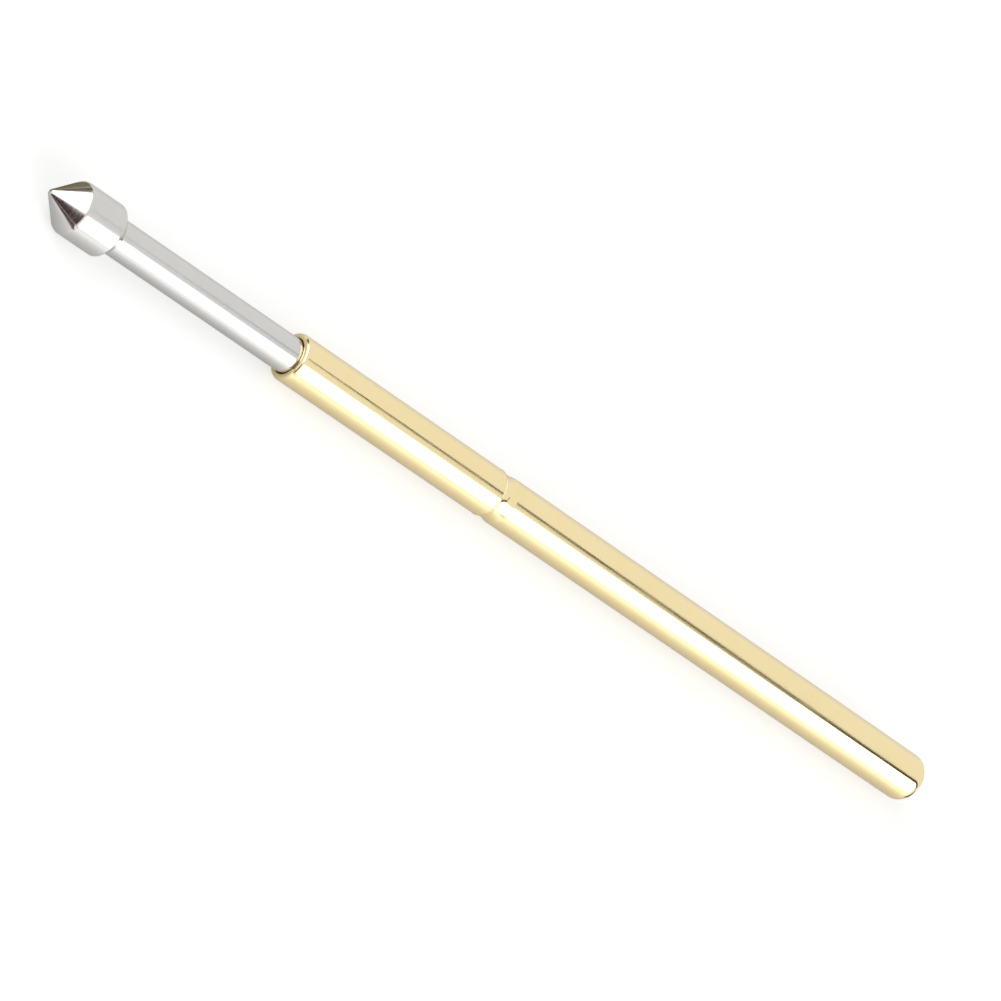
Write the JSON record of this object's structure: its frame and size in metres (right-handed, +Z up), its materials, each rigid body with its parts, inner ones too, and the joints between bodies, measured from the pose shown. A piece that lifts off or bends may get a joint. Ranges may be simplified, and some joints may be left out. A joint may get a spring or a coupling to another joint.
{
  "type": "pogo pin",
  "caption": "Spring test probe: a turned plunger with a conical head slides in a gold-plated tube with a rolled groove and a closed round tail, pushed out by a coil spring.",
  "frame": {"origin": "on the probe's axis, at the middle of the barrel's straight stretch behind the groove, where a socket grips it", "axes": "+X along the axis from the tip towards the closed tail, +Z up"},
  "size_m": [0.0333, 0.0014, 0.0016],
  "materials": {
    "gold_plate": "smooth gold plating on drawn tube",
    "nickel_plate": "bright nickel plating on a turned pin",
    "spring_wire": "drawn spring wire"
  },
  "bodies": {
    "barrel": {"barrel": "gold_plate", "spring": "spring_wire"},
    "plunger": {"plunger": "nickel_plate"}
  },
  "joints": [
    {"name": "plunger_slide", "type": "slide", "parent": "barrel", "child": "plunger", "axis": [1, 0, 0], "range_m": [0, 0.00635], "stiffness_N_per_m": 311, "springref_m": -0.00129, "deforming": ["spring"]}
  ]
}
